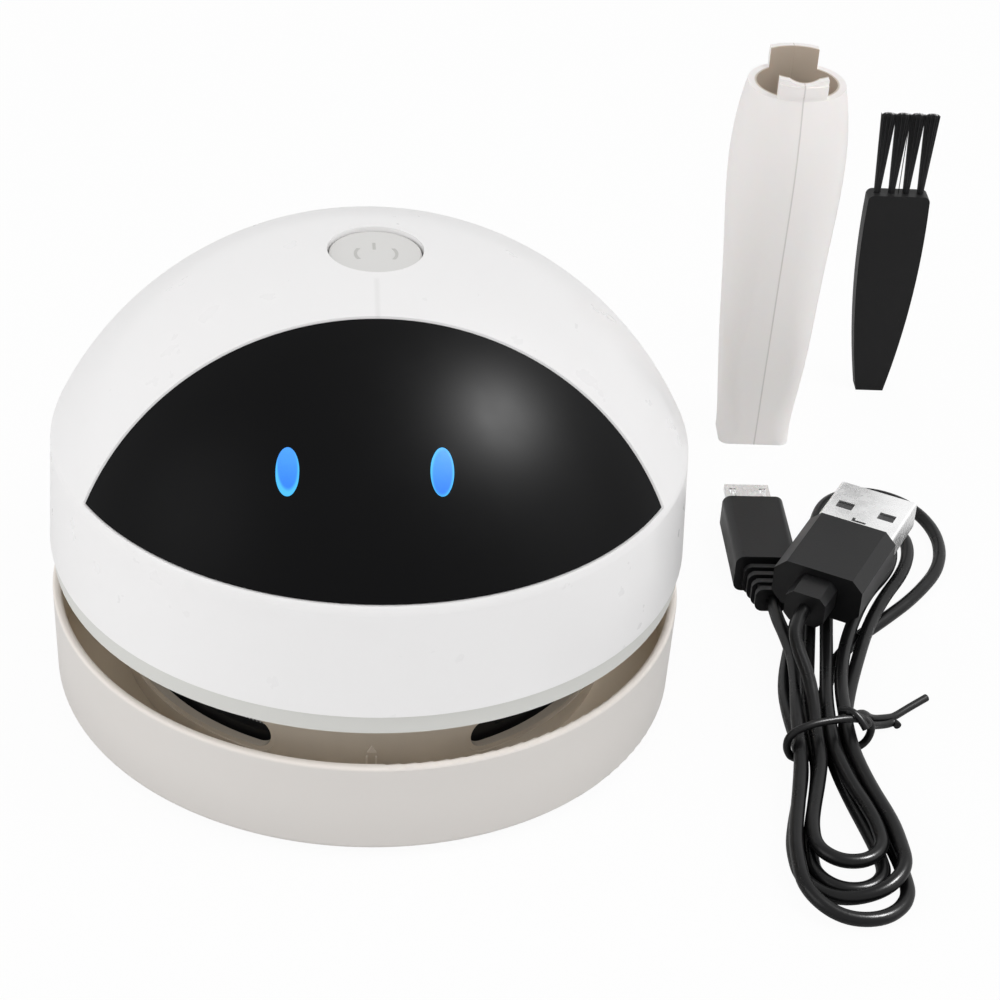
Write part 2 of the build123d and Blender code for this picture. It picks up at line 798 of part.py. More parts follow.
def nozzle():
    bore_foot = nozzle_height - nozzle_bore_length
    body = nozzle_form(0)
    way = nozzle_form(nozzle_wall) & block(60, 60, -1, bore_foot)
    body -= way
    body -= disc(nozzle_bore, bore_foot - 0.01, nozzle_height + 1)
    outer = nozzle_bore + nozzle_wall
    top = nozzle_height + tongue_height
    ring = tube(outer, nozzle_bore, nozzle_height - 1, top)
    bead = tube(outer + tongue_bead, nozzle_bore, top - 2.4, top - 0.8)
    tongues = (ring + bead) & block(tongue_width, 4 * outer, nozzle_height - 1, top)
    notch = Pos(0, -outer, top + tongue_notch_radius - tongue_notch_depth) * Rot(90, 0, 0) * Cylinder(
        tongue_notch_radius, 6
    )
    body = body + tongues - notch
    return Pos(*nozzle_place, 0) * Rot(0, 0, nozzle_turn) * body


# ================= cleaning brush =================
def brush_handle():
    half = handle_width / 2
    foot = handle_foot_width / 2
    outline = (
        Polyline((-foot, 0), (foot, 0))
        + ThreePointArc((foot, 0), (half * 0.92, handle_height * 0.45), (half, handle_height))
        + Polyline((half, handle_height), (-half, handle_height))
        + ThreePointArc((-half, handle_height), (-half * 0.92, handle_height * 0.45), (-foot, 0))
    )
    handle = extrude(Plane.XZ * make_face(outline), handle_thickness / 2, both=True)
    handle = fillet(handle.edges().filter_by(Axis.Y).group_by(Axis.Z)[-1], handle_round)
    return Pos(*brush_place, 0) * Rot(0, 0, brush_turn) * handle


def brush_tufts():
    tufts = []
    for i in range(tuft_count):
        x = (i - (tuft_count - 1) / 2) * tuft_pitch
        tuft = Pos(x, 0, handle_height) * Cone(
            tuft_root_radius, tuft_tip_radius, tuft_length, align=(Align.CENTER, Align.CENTER, Align.MIN)
        )
        tufts.append(Pos(*brush_place, 0) * Rot(0, 0, brush_turn) * tuft)
    return tufts


# ================= charging cable =================
hank_height = hank_layers * 2 * cord_radius + 3 * seat_gap
hank_top_height = hank_height + hank_crossing_rise
hank_waist_height = 2 * tie_radius + 4 * cord_radius + 3 * seat_gap


def lobe(first, first_radius, second, second_radius, height):
    """Closed outer form of some turns of the cord: the hull of two discs."""
    outline = make_hull(
        (Pos(*first) * Circle(first_radius)).edges() + (Pos(*second) * Circle(second_radius)).edges()
    )
    return extrude(outline, height)


def tie_ring(radius, grow):
    """The tie's round, flattened ring about the bundle."""
    width = 2 * (hank_tie_radius + grow)
    plane = Plane(
        origin=(*hank_tie_place, 0),
        x_dir=(cos(radians(tie_turn)), sin(radians(tie_turn)), 0),
        z_dir=(sin(radians(tie_turn)), -cos(radians(tie_turn)), 0),
    )
    height = hank_waist_height - 2 * tie_radius + 2 * grow + radius
    middle = Pos(0, tie_radius + height / 2)
    path = plane * middle * RectangleRounded(width, height, height * 0.4)
    start = path.edges()[0]
    section = Plane(origin=start @ 0, z_dir=start % 0) * Circle(radius)
    return sweep(section, path.wires()[0])


def cable_hank():
    bottom = lobe(hank_tie_place, hank_tie_radius, hank_bottom_place, hank_bottom_radius, hank_height)
    middle = lobe(hank_tie_place, hank_tie_radius, hank_neck_place, hank_tie_radius, hank_height)
    top = lobe(hank_fork_place, hank_fork_radius, hank_top_place, hank_top_radius, hank_top_height)
    waist = block(2 * hank_tie_radius, hank_waist_length, hank_height - 1, hank_waist_height, hank_tie_place)
    waist = chamfer(waist.edges().group_by(Axis.Z)[-1], 1.0)
    return bottom + [middle, top, waist]


def cord_tube(points, name):
    """Straight runs joined by tangent arcs, each as large as its two runs allow."""
    corners = [Vector(*p) for p in points]
    runs = [b - a for a, b in zip(corners, corners[1:])]
    radii = [
        0.45 * min(a.length, b.length) / tan(radians(a.get_angle(b)) / 2) for a, b in zip(runs, runs[1:])
    ]
    path = FilletPolyline(*corners, radius=radii)
    section = Plane(origin=path @ 0, z_dir=path % 0) * Circle(cord_radius)
    solid = sweep(section, path)
    share = solid.volume / (pi * cord_radius**2 * path.length)
    print(name, "radii", [round(r, 1) for r in radii])
    print(name, "length", round(path.length, 1), "volume share", round(share, 4))
    return solid


def plug_box(size, start, place, turn, height, shift=0.0):
    """A box of length, width and height, that starts at a distance along the plug."""
    length, width, tall = size
    local = Pos(start + length / 2, 0, shift) * Box(length, width, tall)
    return Pos(*place, height) * Rot(0, 0, turn) * local


def along(turn):
    return Axis((0, 0, 0), (cos(radians(turn)), sin(radians(turn)), 0))


usb_height = hank_top_height + seat_gap + usb_grip[2] / 2
usb_grip_start = usb_neck[0]
usb_shell_start = usb_grip_start + usb_grip[0]


def usb_box(size, start, shift=0.0):
    return plug_box(size, start, usb_place, usb_turn, usb_height, shift)


def usb_a_grip():
    neck = usb_box(usb_neck, 0)
    neck = chamfer(neck.edges().filter_by(along(usb_turn)), 1.0)
    grip = usb_box(usb_grip, usb_grip_start)
    grip = chamfer(grip.edges().filter_by(along(usb_turn)), usb_grip_chamfer)
    seat = usb_box((2.0, usb_shell[1] + 2 * seat_gap, usb_shell[2] + 2 * seat_gap), usb_shell_start - 1.5)
    return (neck + grip) - seat


def usb_a_shell():
    length, width, tall = usb_shell
    inserted = 1.5 - seat_gap
    shell = usb_box((length + inserted, width, tall), usb_shell_start - inserted)
    shell = fillet(shell.edges().filter_by(along(usb_turn)), 0.4)
    wall = usb_shell_wall
    shell -= usb_box((length + 2, width - 2 * wall, tall - 2 * wall), usb_shell_start - inserted + 0.6)
    windows = []
    for side in (-1, 1):
        for shift in (-tall / 2, tall / 2):
            window = Box(*usb_window, 4 * wall)
            from_start = usb_shell_start + length - usb_window_from_mouth
            local = Pos(from_start, side * usb_window_spacing / 2, shift)
            windows.append(Pos(*usb_place, usb_height) * Rot(0, 0, usb_turn) * local * window)
    for reach, width, side in ((usb_hook_slot, usb_hook_width, 0), (usb_hook_return, usb_hook_slot, 1)):
        local = Pos(
            usb_shell_start + usb_hook_from_grip + side * (reach - usb_hook_slot) / 2,
            side * (usb_hook_width - width) / 2,
            tall / 2,
        )
        windows.append(Pos(*usb_place, usb_height) * Rot(0, 0, usb_turn) * local * Box(reach, width, 4 * wall))
    return shell - windows


def usb_a_tongue():
    length, width, tall = usb_tongue
    shift = usb_shell[2] / 2 - usb_shell_wall - seat_gap - tall / 2
    return usb_box((length, width, tall), usb_shell_start - 0.8, shift)


micro_height = micro_grip_size[2] / 2
micro_grip_start = micro_relief[0]
micro_shell_start = micro_grip_start + micro_grip_size[0]


def micro_box(size, start, shift=0.0):
    return plug_box(size, start, micro_place, micro_turn, micro_height, shift)


def micro_grip():
    grip = micro_box(micro_grip_size, micro_grip_start)
    grip = fillet(grip.edges().filter_by(along(micro_turn)), micro_grip_round)
    length, width, tall = micro_relief
    pieces = []
    pitch = length / micro_rib_count
    core = micro_box((length, micro_relief_tip, tall - 1.4), 0)
    for i in range(micro_rib_count):
        grown = micro_relief_tip + 0.8 + (width - micro_relief_tip) * i / (micro_rib_count - 1)
        rib = micro_box((pitch * 0.55, grown, tall - 0.9 + 0.9 * i / (micro_rib_count - 1)), pitch * i)
        pieces.append(fillet(rib.edges().filter_by(along(micro_turn)), 1.2))
    seat = micro_box(
        (1.6, micro_shell_size[1] + 2 * seat_gap, micro_shell_size[2] + 2 * seat_gap), micro_shell_start - 1.2
    )
    return (grip + [core] + pieces) - seat


def micro_shell():
    length, width, tall = micro_shell_size
    inserted = 1.2 - seat_gap
    wall = micro_shell_wall
    shell = micro_box((length + inserted, width, tall), micro_shell_start - inserted)
    low_edges = shell.edges().filter_by(along(micro_turn)).group_by(Axis.Z)[0]
    shell = chamfer(low_edges, 0.7)
    well = micro_box((length + 1, width - 2 * wall, tall - 2 * wall), micro_shell_start - inserted + 0.6)
    well = chamfer(well.edges().filter_by(along(micro_turn)).group_by(Axis.Z)[0], 0.6)
    shell -= well
    start = micro_shell_start + latch_from_grip
    spring_length, spring_width = latch_spring
    tooth_length, tooth_height = latch_tooth
    top = tall / 2
    cuts = []
    springs = []
    for side in (-1, 1):
        place = Pos(0, side * latch_spacing / 2, 0)
        cuts.append(latch_box(place, (*latch_slot, 4 * wall), start, top))
        springs.append(latch_box(place, (spring_length, spring_width, wall), start - 0.2, top - wall / 2))
        tooth = (tooth_length, spring_width, wall + tooth_height)
        tooth_start = start + spring_length - 0.2 - tooth_length
        springs.append(latch_box(place, tooth, tooth_start, top - wall / 2 + tooth_height / 2))
    for i in range(groove_count):
        place = Pos(0, (i - (groove_count - 1) / 2) * groove_pitch, 0)
        cuts.append(latch_box(place, groove_size, start, top - groove_size[2] / 2))
    return (shell - cuts) + springs


def latch_box(place, size, start, height):
    """A small box on the small plug's shell, from its start along the plug."""
    local = place * Pos(start + size[0] / 2, 0, height) * Box(*size)
    return Pos(*micro_place, micro_height) * Rot(0, 0, micro_turn) * local


def micro_tongue():
    length, width, tall = micro_tongue_size
    shift = micro_shell_size[2] / 2 - micro_shell_wall - seat_gap - tall / 2
    return micro_box((length, width, tall), micro_shell_start - 0.5, shift)


def tie_end(radius):
    """The tie's twisted end, bent down to the table."""
    path = FilletPolyline(*[Vector(*p) for p in tie_tail], radius=tie_bend)
    section = Plane(origin=path @ 0, z_dir=path % 0) * Circle(radius)
    return sweep(section, path)


def cable_tie():
    return tie_ring(tie_radius, tie_radius + seat_gap) + tie_end(tie_radius)


write("dust_box", dust_box())
write("filter_spigot", filter_spigot())
write("foot_pads", *foot_pads())
write("brush_strip", brush_strip())
write("bristles", *bristles())
write("vent_skirt", skirt())
write("filter_cartridge", filter_cartridge())
write("filter_mesh", filter_mesh())
write("deck", deck())
write("deck_screws", *deck_screws())
write("skirt_screws", *skirt_screws())
write("motor_can", motor_can())
write("motor_cap", motor_cap())
write("motor_screws", *motor_screws())
write("motor_shaft", motor_shaft())
write("impeller", impeller())
write("battery_cradle", battery_cradle())
write("battery_cell", battery_cell())
write("charge_board", charge_board())
write("charge_parts", *charge_parts())
write("usb_socket", usb_socket())
write("top_shell", top_shell())
write("face_panel", face_panel())
write("light_lens_left", light_lens(light_places[0]))
write("light_lens_right", light_lens(light_places[1]))
write("led_board", led_board())
write("leds", *leds())
write("button", button())
write("switch_plunger", switch_plunger())
write("switch", switch())
write("switch_board", switch_board())
write("nozzle", nozzle())
write("brush_handle", brush_handle())
write("brush_tufts", *brush_tufts())
write("cable_hank", cable_hank() - tie_ring(tie_radius + seat_gap, tie_radius + seat_gap))
write("cable_tie", cable_tie())
write("cable_lead_micro", cord_tube(lead_to_micro, "lead to the small plug"))
write("cable_lead_usb", cord_tube(lead_to_usb, "lead to the large plug"))
write("usb_a_grip", usb_a_grip())
write("usb_a_shell", usb_a_shell())
write("usb_a_tongue", usb_a_tongue())
write("micro_grip", micro_grip())
write("micro_shell", micro_shell())
write("micro_tongue", micro_tongue())
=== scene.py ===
import json
from math import cos, pi, radians, sin, sqrt

import bpy
from mathutils import Matrix, Quaternion, Vector

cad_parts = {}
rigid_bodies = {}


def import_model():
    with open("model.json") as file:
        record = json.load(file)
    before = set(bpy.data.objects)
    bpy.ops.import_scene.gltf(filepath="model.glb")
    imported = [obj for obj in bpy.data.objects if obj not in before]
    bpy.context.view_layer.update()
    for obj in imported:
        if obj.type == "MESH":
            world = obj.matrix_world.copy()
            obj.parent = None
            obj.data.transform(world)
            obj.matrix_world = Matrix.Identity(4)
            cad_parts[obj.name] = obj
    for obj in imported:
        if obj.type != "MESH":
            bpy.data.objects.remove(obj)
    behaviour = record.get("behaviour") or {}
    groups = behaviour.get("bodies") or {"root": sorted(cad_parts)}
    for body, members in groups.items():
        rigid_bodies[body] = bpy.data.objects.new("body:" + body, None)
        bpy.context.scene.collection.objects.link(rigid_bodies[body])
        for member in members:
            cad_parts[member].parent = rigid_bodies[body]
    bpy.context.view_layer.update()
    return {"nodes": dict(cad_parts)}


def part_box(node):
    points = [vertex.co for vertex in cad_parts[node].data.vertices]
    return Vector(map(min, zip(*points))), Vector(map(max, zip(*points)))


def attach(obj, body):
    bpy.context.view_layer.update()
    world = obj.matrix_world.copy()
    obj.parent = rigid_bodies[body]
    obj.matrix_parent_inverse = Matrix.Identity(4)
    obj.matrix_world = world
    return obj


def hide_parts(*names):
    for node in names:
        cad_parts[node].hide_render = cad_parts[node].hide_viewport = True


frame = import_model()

mm = 0.001


# ---------------------------------------------------------------------------
# Dust box: the lower ring with its floor, suction mouth and filter collar.
# Injection-moulded plastic with a soft gloss, warm pale grey, with a painted highlight along its
# rim, painted shade towards its foot and a warmer painted shade on its inner wall.
# The collar is welded to the floor; both keep the solids' own form.

class Signal:
    """A value that varies over a piece. Arithmetic on it adds Math nodes to its finish."""

    def __init__(self, finish, socket):
        self.finish, self.socket = finish, socket

    def math(self, operation, *values):
        return self.finish.node("ShaderNodeMath", {"operation": operation}, dict(enumerate(values)))

    def __add__(self, other):
        return self.math("ADD", self, other)

    __radd__ = __add__

    def __sub__(self, other):
        return self.math("SUBTRACT", self, other)

    def __rsub__(self, other):
        return self.math("SUBTRACT", other, self)

    def __mul__(self, other):
        return self.math("MULTIPLY", self, other)

    __rmul__ = __mul__

    def __truediv__(self, other):
        return self.math("DIVIDE", self, other)

    def __pow__(self, other):
        return self.math("POWER", self, other)

    def __abs__(self):
        return self.math("ABSOLUTE", self)

    def sine(self):
        return self.math("SINE", self)

    def rise(self, low, high):
        """0 below low, 1 above high, smooth between; falls where low is above high."""
        flat, full = (0, 1) if low < high else (1, 0)
        ends = {1: min(low, high), 2: max(low, high), 3: flat, 4: full}
        eased = {"interpolation_type": "SMOOTHSTEP"}
        return self.finish.node("ShaderNodeMapRange", eased, {0: self, **ends})


class Finish:
    """One surface finish: the shader's own numbers, and what varies over the piece."""

    def __init__(self, name, **numbers):
        self.material = bpy.data.materials.new(name)
        self.material.use_nodes = True
        self.shader = self.material.node_tree.nodes["Principled BSDF"]
        for socket, value in numbers.items():
            self.set(socket.replace("_", " "), value)

    def node(self, kind, settings, sockets, output=0):
        made = self.material.node_tree.nodes.new(kind)
        for name, value in settings.items():
            setattr(made, name, value)
        for name, value in sockets.items():
            self.plug(made.inputs[name], value)
        return Signal(self, made.outputs[output])

    def plug(self, socket, value):
        if isinstance(value, Signal):
            self.material.node_tree.links.new(value.socket, socket)
        else:
            socket.default_value = value

    def set(self, socket, value):
        self.plug(self.shader.inputs[socket], value)

    def place(self):
        return self.node("ShaderNodeTexCoord", {}, {}, "Object")

    def axes(self):
        at = self.place()
        return [self.node("ShaderNodeSeparateXYZ", {}, {0: at}, i) for i in range(3)]

    def noise(self, size, detail=2.0, stretch=(1, 1, 1)):
        """Cloudy variation from 0 to 1, with spots of a size in metres."""
        at = self.node("ShaderNodeMapping", {}, {"Vector": self.place(), "Scale": stretch})
        sockets = {"Vector": at, "Scale": 1 / size, "Detail": detail}
        return self.node("ShaderNodeTexNoise", {}, sockets)

    def mix(self, factor, low, high):
        """A colour between two colours."""
        colours = {6: self.colour(low), 7: self.colour(high)}
        return self.node("ShaderNodeMix", {"data_type": "RGBA"}, {0: factor, **colours}, 2)

    def colour(self, value):
        return value if isinstance(value, Signal) else (*value, 1)

    def bump(self, height, depth):
        """Relief of a depth in metres from a height of 0 to 1."""
        self.set("Normal", self.node("ShaderNodeBump", {}, {"Distance": depth, "Height": height}))


def tint(*screen):
    """Red, green and blue as seen on a screen, from 0 to 255, turned into light."""
    straight_below, straight_slope = 10, 3295
    return tuple(
        ((value / 255 + 0.055) / 1.055) ** 2.4 if value > straight_below else value / straight_slope
        for value in screen
    )


def shade(colour, share):
    return tuple(c * share for c in colour)


drift_size = 16 * mm
handled_size = 5 * mm
handled_swing = 0.14


def moulded(finish, colour, smooth, drift=0, grain=0.35 * mm, depth=0.004 * mm):
    """Moulded plastic: slow drift of the colour, handled patches and a fine spark-eroded grain."""
    if not isinstance(colour, Signal):
        cloud = finish.noise(drift_size, 3)
        colour = finish.mix(cloud, shade(colour, 1 - drift), shade(colour, 1 + drift * 0.4))
    finish.set("Base Color", colour)
    handled = finish.noise(handled_size, 4)
    finish.set("Roughness", smooth + handled * handled_swing - handled_swing / 2)
    finish.bump(finish.noise(grain, 2), depth)
    return finish


def dress(finish, *names):
    """Give CAD nodes a finish."""
    for name in names:
        for slot in frame["nodes"][name].material_slots:
            slot.material = finish.material


ring_grey = tint(226, 222, 218)
# Paler rim colour: a painted highlight where the lip catches the light.
ring_lip_highlight = tint(250, 243, 236)
# Warmer, darker colour of the ring's inner wall: painted shade of the gap.
ring_inner_shade = tint(226, 213, 194)
rim_heights = (14.3 * mm, 14.9 * mm)
# Heights over which the ring's outside darkens towards its foot: painted shade.
foot_heights = (10 * mm, 1 * mm)
wall_radii = (42.9 * mm, 42.5 * mm)

ring_gloss = Finish("ring_gloss", IOR=1.47, Specular_IOR_Level=0.2)
ring_x, ring_y, ring_z = ring_gloss.axes()
at_rim = ring_z.rise(*rim_heights)
# Painted shade: the outside of the ring darkens towards its foot.
painted_foot_shade = ring_z.rise(*foot_heights)
ring_outside_shaded = ring_gloss.mix(painted_foot_shade, ring_grey, shade(ring_grey, 0.95))
ring_reach = (ring_x * ring_x + ring_y * ring_y) ** 0.5
# Painted shade: the inner wall takes the warmer, darker colour.
ring_body = ring_gloss.mix(ring_reach.rise(*wall_radii), ring_outside_shaded, ring_inner_shade)
# The rim gets the painted highlight colour; its roughness also rises there.
moulded(
    ring_gloss, ring_gloss.mix(at_rim, ring_body, ring_lip_highlight), smooth=0.36 + at_rim * 0.34,
    grain=0.9 * mm, depth=0.001 * mm,
)
dress(ring_gloss, "dust_box", "filter_spigot")


# ---------------------------------------------------------------------------
# Felt pads under the foot bosses: pressed black wool felt, glued into the bosses.
# Their fibres show as a fuzzy relief and pale flecks.

felt = Finish("pad_felt", Sheen_Weight=0.6, Sheen_Roughness=0.6, Specular_IOR_Level=0.2)
fibres = felt.noise(0.35 * mm, 6, (1, 1, 0.3))
felt.set("Base Color", felt.mix(fibres.rise(0.4, 0.7), tint(26, 26, 28), tint(66, 66, 70)))
felt.set("Roughness", 0.85 + fibres * 0.15)
felt.bump(fibres, 0.12 * mm)
dress(felt, "foot_pads")


# ---------------------------------------------------------------------------
# Sweeping brush round the suction mouth: thirty tufts of black nylon in a pale strip.
# The strip is moulded and glued under the floor; the tufts are pushed into it.

tuft_ring = 13.5 * mm
tuft_top = 2.1 * mm
tuft_foot = 0.3 * mm
tuft_spread = 0.16 * mm
splay_at_table = 1.1
splay_at_strip = 0.8
mouth_tufts = 30
strands_in_tuft = 9
strand_turn = 2.4


def begin(primitive, name, **size):
    """Add a primitive with nothing else selected, as the start of a named piece."""
    bpy.ops.object.select_all(action="DESELECT")
    primitive(**size)
    piece = bpy.context.object
    piece.name = piece.data.name = name
    return piece


def finish_piece(piece, finish, body):
    """Put the piece's place into its mesh, and give it its finish and body."""
    bpy.ops.object.mode_set(mode="OBJECT")
    bpy.ops.object.select_all(action="DESELECT")
    piece.select_set(True)
    bpy.context.view_layer.objects.active = piece
    bpy.ops.object.transform_apply(location=True, rotation=True, scale=True)
    piece.data.materials.clear()
    piece.data.materials.append(finish.material)
    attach(piece, body)
    return piece


def strand(foot, tip, foot_radius, tip_radius):
    """One tapered nylon strand from foot to tip, added to the piece in edit mode."""
    run = Vector(tip) - Vector(foot)
    bpy.ops.mesh.primitive_cone_add(
        vertices=5, radius1=foot_radius, radius2=tip_radius, depth=run.length,
        location=(Vector(foot) + Vector(tip)) / 2,
        rotation=run.to_track_quat("Z", "Y").to_euler(),
    )


strip_white = moulded(
    Finish("strip_plastic", IOR=1.47), tint(205, 203, 199), drift=0.03, smooth=0.5
)
dress(strip_white, "brush_strip")

nylon = Finish("black_nylon", Specular_IOR_Level=0.3)
along_strand = nylon.noise(1.2 * mm, 3, (3, 3, 0.3))
nylon.set("Base Color", nylon.mix(along_strand, tint(12, 12, 13), tint(36, 36, 38)))
nylon.set("Roughness", 0.32 + along_strand * 0.2)
nylon.bump(along_strand, 0.01 * mm)

mouth_brush = begin(
    bpy.ops.mesh.primitive_cone_add, "mouth_bristles", vertices=5,
    radius1=0.1 * mm, radius2=0.1 * mm, depth=tuft_top - tuft_foot,
    location=(tuft_ring, 0, (tuft_top + tuft_foot) / 2),
)
bpy.ops.object.mode_set(mode="EDIT")
for i in range(mouth_tufts):
    turn = 2 * pi * i / mouth_tufts
    middle = Vector((tuft_ring * sin(turn), -tuft_ring * cos(turn), 0))
    for k in range(strands_in_tuft):
        way = strand_turn * k
        out = Vector((cos(way), sin(way), 0)) * tuft_spread * sqrt(k)
        foot = middle + out * splay_at_table + Vector((0, 0, tuft_foot))
        tip = middle + out * splay_at_strip + Vector((0, 0, tuft_top))
        strand(foot, tip, foot_radius=0.07 * mm, tip_radius=0.09 * mm)
finish_piece(mouth_brush, nylon, "base")
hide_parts("bristles")


# ---------------------------------------------------------------------------
# Skirt with the four air vents: glossy warm grey plastic, drafted towards its foot.
# It is screwed under the deck, and shows in the slot between the ring and the deck.

skirt_grey = tint(235, 225, 211)

skirt_gloss = Finish("skirt_gloss", IOR=1.5, Coat_Weight=0.5, Coat_Roughness=0.08)
streak = skirt_gloss.noise(7 * mm, 3, (1, 1, 0.15))
skirt_colour = skirt_gloss.mix(streak, shade(skirt_grey, 0.9), shade(skirt_grey, 1.06))
moulded(skirt_gloss, skirt_colour, smooth=0.22, grain=0.5 * mm, depth=0.003 * mm)
dress(skirt_gloss, "vent_skirt")


# ---------------------------------------------------------------------------
# Lock mark on the front of the skirt: a small triangle over two upright bars.
# Raised about a tenth of a millimetre from the skirt, and printed a little paler.

mark_front = 35.05 * mm
mark_deep = 0.5 * mm
upright = (pi / 2, 0, 0)
arrow_radius = 0.72 * mm
arrow_up = 10.6 * mm
bars_aside = 0.62 * mm
bars_up = 8.5 * mm
bar_wide, bar_high = 0.24 * mm, 2.0 * mm

mark_paler = moulded(
    Finish("mark_print", IOR=1.5), tint(244, 235, 224), drift=0.02, smooth=0.35
)

lock_mark = begin(
    bpy.ops.mesh.primitive_circle_add, "lock_mark", vertices=3, radius=arrow_radius,
    fill_type="NGON", location=(0, -mark_front, arrow_up), rotation=upright,
)
bpy.ops.object.mode_set(mode="EDIT")
for side in (-1, 1):
    bpy.ops.mesh.primitive_plane_add(
        size=1, location=(side * bars_aside, -mark_front, bars_up), rotation=upright
    )
    bpy.ops.transform.resize(value=(bar_wide, 1, bar_high))
bpy.ops.mesh.select_all(action="SELECT")
bpy.ops.mesh.extrude_region_move(TRANSFORM_OT_translate={"value": (0, mark_deep, 0)})
bpy.ops.mesh.select_all(action="SELECT")
bpy.ops.mesh.normals_make_consistent(inside=False)
finish_piece(lock_mark, mark_paler, "head")


# ---------------------------------------------------------------------------
# Filter cartridge: a matt black frame with four windows and a fine grey mesh behind them.
# The frame drops over the collar of the dust box; the mesh is woven nylon, welded inside.

cartridge_black = moulded(
    Finish("cartridge_plastic", Specular_IOR_Level=0.35), tint(24, 24, 25),
    drift=0.25, smooth=0.5, grain=0.3 * mm, depth=0.008 * mm,
)
dress(cartridge_black, "filter_cartridge")

weave_pitch = 0.55 * mm
mesh_radius = 31.15 * mm

mesh_cloth = Finish("filter_cloth", Specular_IOR_Level=0.4, Sheen_Weight=0.3)
mesh_x, mesh_y, mesh_z = mesh_cloth.axes()
round_mesh = mesh_y.math("ARCTAN2", mesh_y, mesh_x) * (mesh_radius / weave_pitch)
up_mesh = mesh_z / weave_pitch
warp = abs((round_mesh * pi).sine())
weft = abs((up_mesh * pi).sine())
thread = warp.math("MAXIMUM", warp, weft)
cloth_colour = mesh_cloth.mix(thread.rise(0.75, 0.98), tint(96, 96, 98), tint(214, 214, 216))
mesh_cloth.set("Base Color", cloth_colour)
mesh_cloth.set("Roughness", 0.45 + mesh_cloth.noise(3 * mm) * 0.25)
mesh_cloth.bump(thread, 0.05 * mm)
dress(mesh_cloth, "filter_mesh")


# ---------------------------------------------------------------------------
# Deck: the floor of the upper unit, whose satin grey edge shows under the white band.
# Moulded in one with the motor cup and the screw bosses.

deck_satin = moulded(
    Finish("deck_satin", IOR=1.46), tint(219, 219, 215), drift=0.02, smooth=0.42
)
dress(deck_satin, "deck")


# ---------------------------------------------------------------------------
# Motor with its screws and shaft, and the fan it turns: zinc-plated can, nylon end cap,
# ground steel shaft. The fan is a moulded dark disc with nine curved blades.

stain_size = 4 * mm
grain_swing = 0.16


def metal(name, colour, smooth, grain, stretch=(1, 1, 1), depth=0.002 * mm):
    """Bare or plated metal with a drawn or ground grain."""
    finish = Finish(name, Metallic=1.0)
    drawn = finish.noise(grain, 4, stretch)
    stain = finish.noise(stain_size, 3)
    finish.set("Base Color", finish.mix(stain, shade(colour, 0.86), colour))
    finish.set("Roughness", smooth + drawn * grain_swing - grain_swing / 2)
    finish.bump(drawn, depth)
    return finish


can_zinc = metal(
    "can_zinc", tint(196, 197, 196), smooth=0.34, grain=0.8 * mm, stretch=(0.1, 0.1, 2)
)
screw_steel = metal(
    "screw_steel", tint(178, 178, 180), smooth=0.3, grain=0.4 * mm, stretch=(1, 1, 4)
)
dress(can_zinc, "motor_can")
dress(screw_steel, "deck_screws", "skirt_screws", "motor_screws", "motor_shaft")

cap_nylon = moulded(Finish("cap_nylon", IOR=1.5), tint(222, 218, 206), drift=0.05, smooth=0.5)
dress(cap_nylon, "motor_cap")

fan_plastic = moulded(
    Finish("fan_plastic", Specular_IOR_Level=0.45), tint(40, 40, 42),
    drift=0.2, smooth=0.38, grain=0.6 * mm, depth=0.006 * mm,
)
dress(fan_plastic, "impeller")


# ---------------------------------------------------------------------------
# Battery in its cradle: one lithium cell in blue shrink wrap that leaves the ends bare.
# The cell is pressed into a moulded trough on the deck behind the motor.

cell_half = 17 * mm

cell_wrap = Finish("cell_wrap", IOR=1.5, Coat_Weight=0.3, Coat_Roughness=0.2)
cell_x = cell_wrap.axes()[0]
cell_end = abs(cell_x).rise(cell_half - 1.0 * mm, cell_half - 0.7 * mm)
wrinkle = cell_wrap.noise(2.5 * mm, 4, (0.25, 1, 1))
wrapped = cell_wrap.mix(wrinkle, tint(28, 74, 138), tint(44, 100, 172))
cell_wrap.set("Base Color", cell_wrap.mix(cell_end, wrapped, tint(190, 190, 188)))
cell_wrap.set("Metallic", cell_end)
cell_wrap.set("Roughness", 0.28 + wrinkle * 0.18)
cell_wrap.bump(wrinkle, 0.05 * mm)
dress(cell_wrap, "battery_cell")

cradle_plastic = moulded(
    Finish("cradle_plastic", IOR=1.46), tint(206, 205, 201), drift=0.03, smooth=0.5
)
dress(cradle_plastic, "battery_cradle")


# ---------------------------------------------------------------------------
# Boards with their parts: green glass-epoxy boards for charging, the lights and the switch.
# The first stands on the deck and the others on posts; chips, switch and plunger are black.
# The two rates of the tracks are radians of their pattern in a metre.

tracks_across_rate = 1400
tracks_up_rate = 1100

board_green = Finish("board_green", IOR=1.5, Coat_Weight=0.3, Coat_Roughness=0.25)
board_x, _, board_z = board_green.axes()
tracks_across = abs((board_x * tracks_across_rate).sine()).rise(0.86, 0.93)
tracks_up = abs((board_z * tracks_up_rate).sine()).rise(0.9, 0.95)
split = board_green.noise(6 * mm, 0).rise(0.48, 0.52)
tracks = tracks_across * split + tracks_up * (1 - split)
board_green.set("Base Color", board_green.mix(tracks, tint(18, 84, 48), tint(52, 128, 78)))
board_green.set("Roughness", 0.42 - tracks * 0.12)
board_green.bump(tracks + board_green.noise(0.3 * mm) * 0.2, 0.02 * mm)
dress(board_green, "charge_board", "led_board", "switch_board")

chip_black = moulded(
    Finish("chip_black", IOR=1.5), tint(30, 30, 31),
    drift=0.15, smooth=0.55, grain=0.2 * mm, depth=0.01 * mm,
)
dress(chip_black, "charge_parts", "switch", "switch_plunger")

